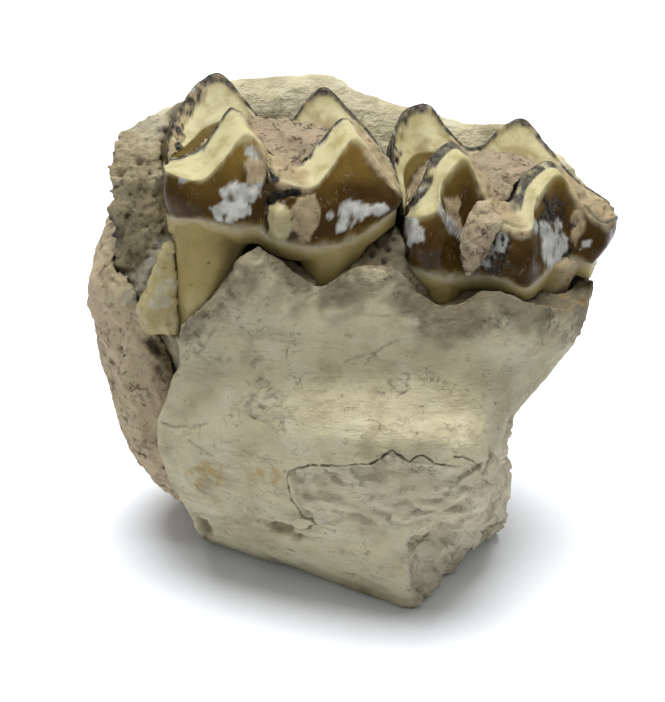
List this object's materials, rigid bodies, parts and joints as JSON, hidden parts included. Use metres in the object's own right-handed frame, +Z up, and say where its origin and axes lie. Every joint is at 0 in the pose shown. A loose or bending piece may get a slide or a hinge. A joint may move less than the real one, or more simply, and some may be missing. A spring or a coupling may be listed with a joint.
{
  "type": "fossil oreodont jaw",
  "caption": "Broken piece of a fossil oreodont upper jaw lying teeth up: pale bone, brown crescent-cusped molars, rock stuck behind and between them",
  "frame": {"origin": "under the middle of the whole piece, at the height of the flat spot that it stands on", "axes": "+Z up, teeth up; the row of teeth runs along X with the back of the mouth at +X; the cheek side faces -Y"},
  "size_m": [0.0456, 0.032, 0.0407],
  "materials": {
    "bone": "dull mineralised bone, pale grey-tan, with fine cracks and pits",
    "rock": "rough pinkish-tan siltstone",
    "tooth": "glossy dark brown enamel, with yellow-cream worn dentine and yellow-brown roots",
    "root": "yellowish broken root, satin"
  },
  "bodies": {
    "root": {"jaw_bone": "bone", "rock_matrix": "rock", "front_molar": "tooth", "rear_molar": "tooth", "lost_tooth_root": "root", "front_molar_fill": "rock", "rear_molar_fill": "rock", "cheek_side_lump": "rock"}
  },
  "joints": []
}
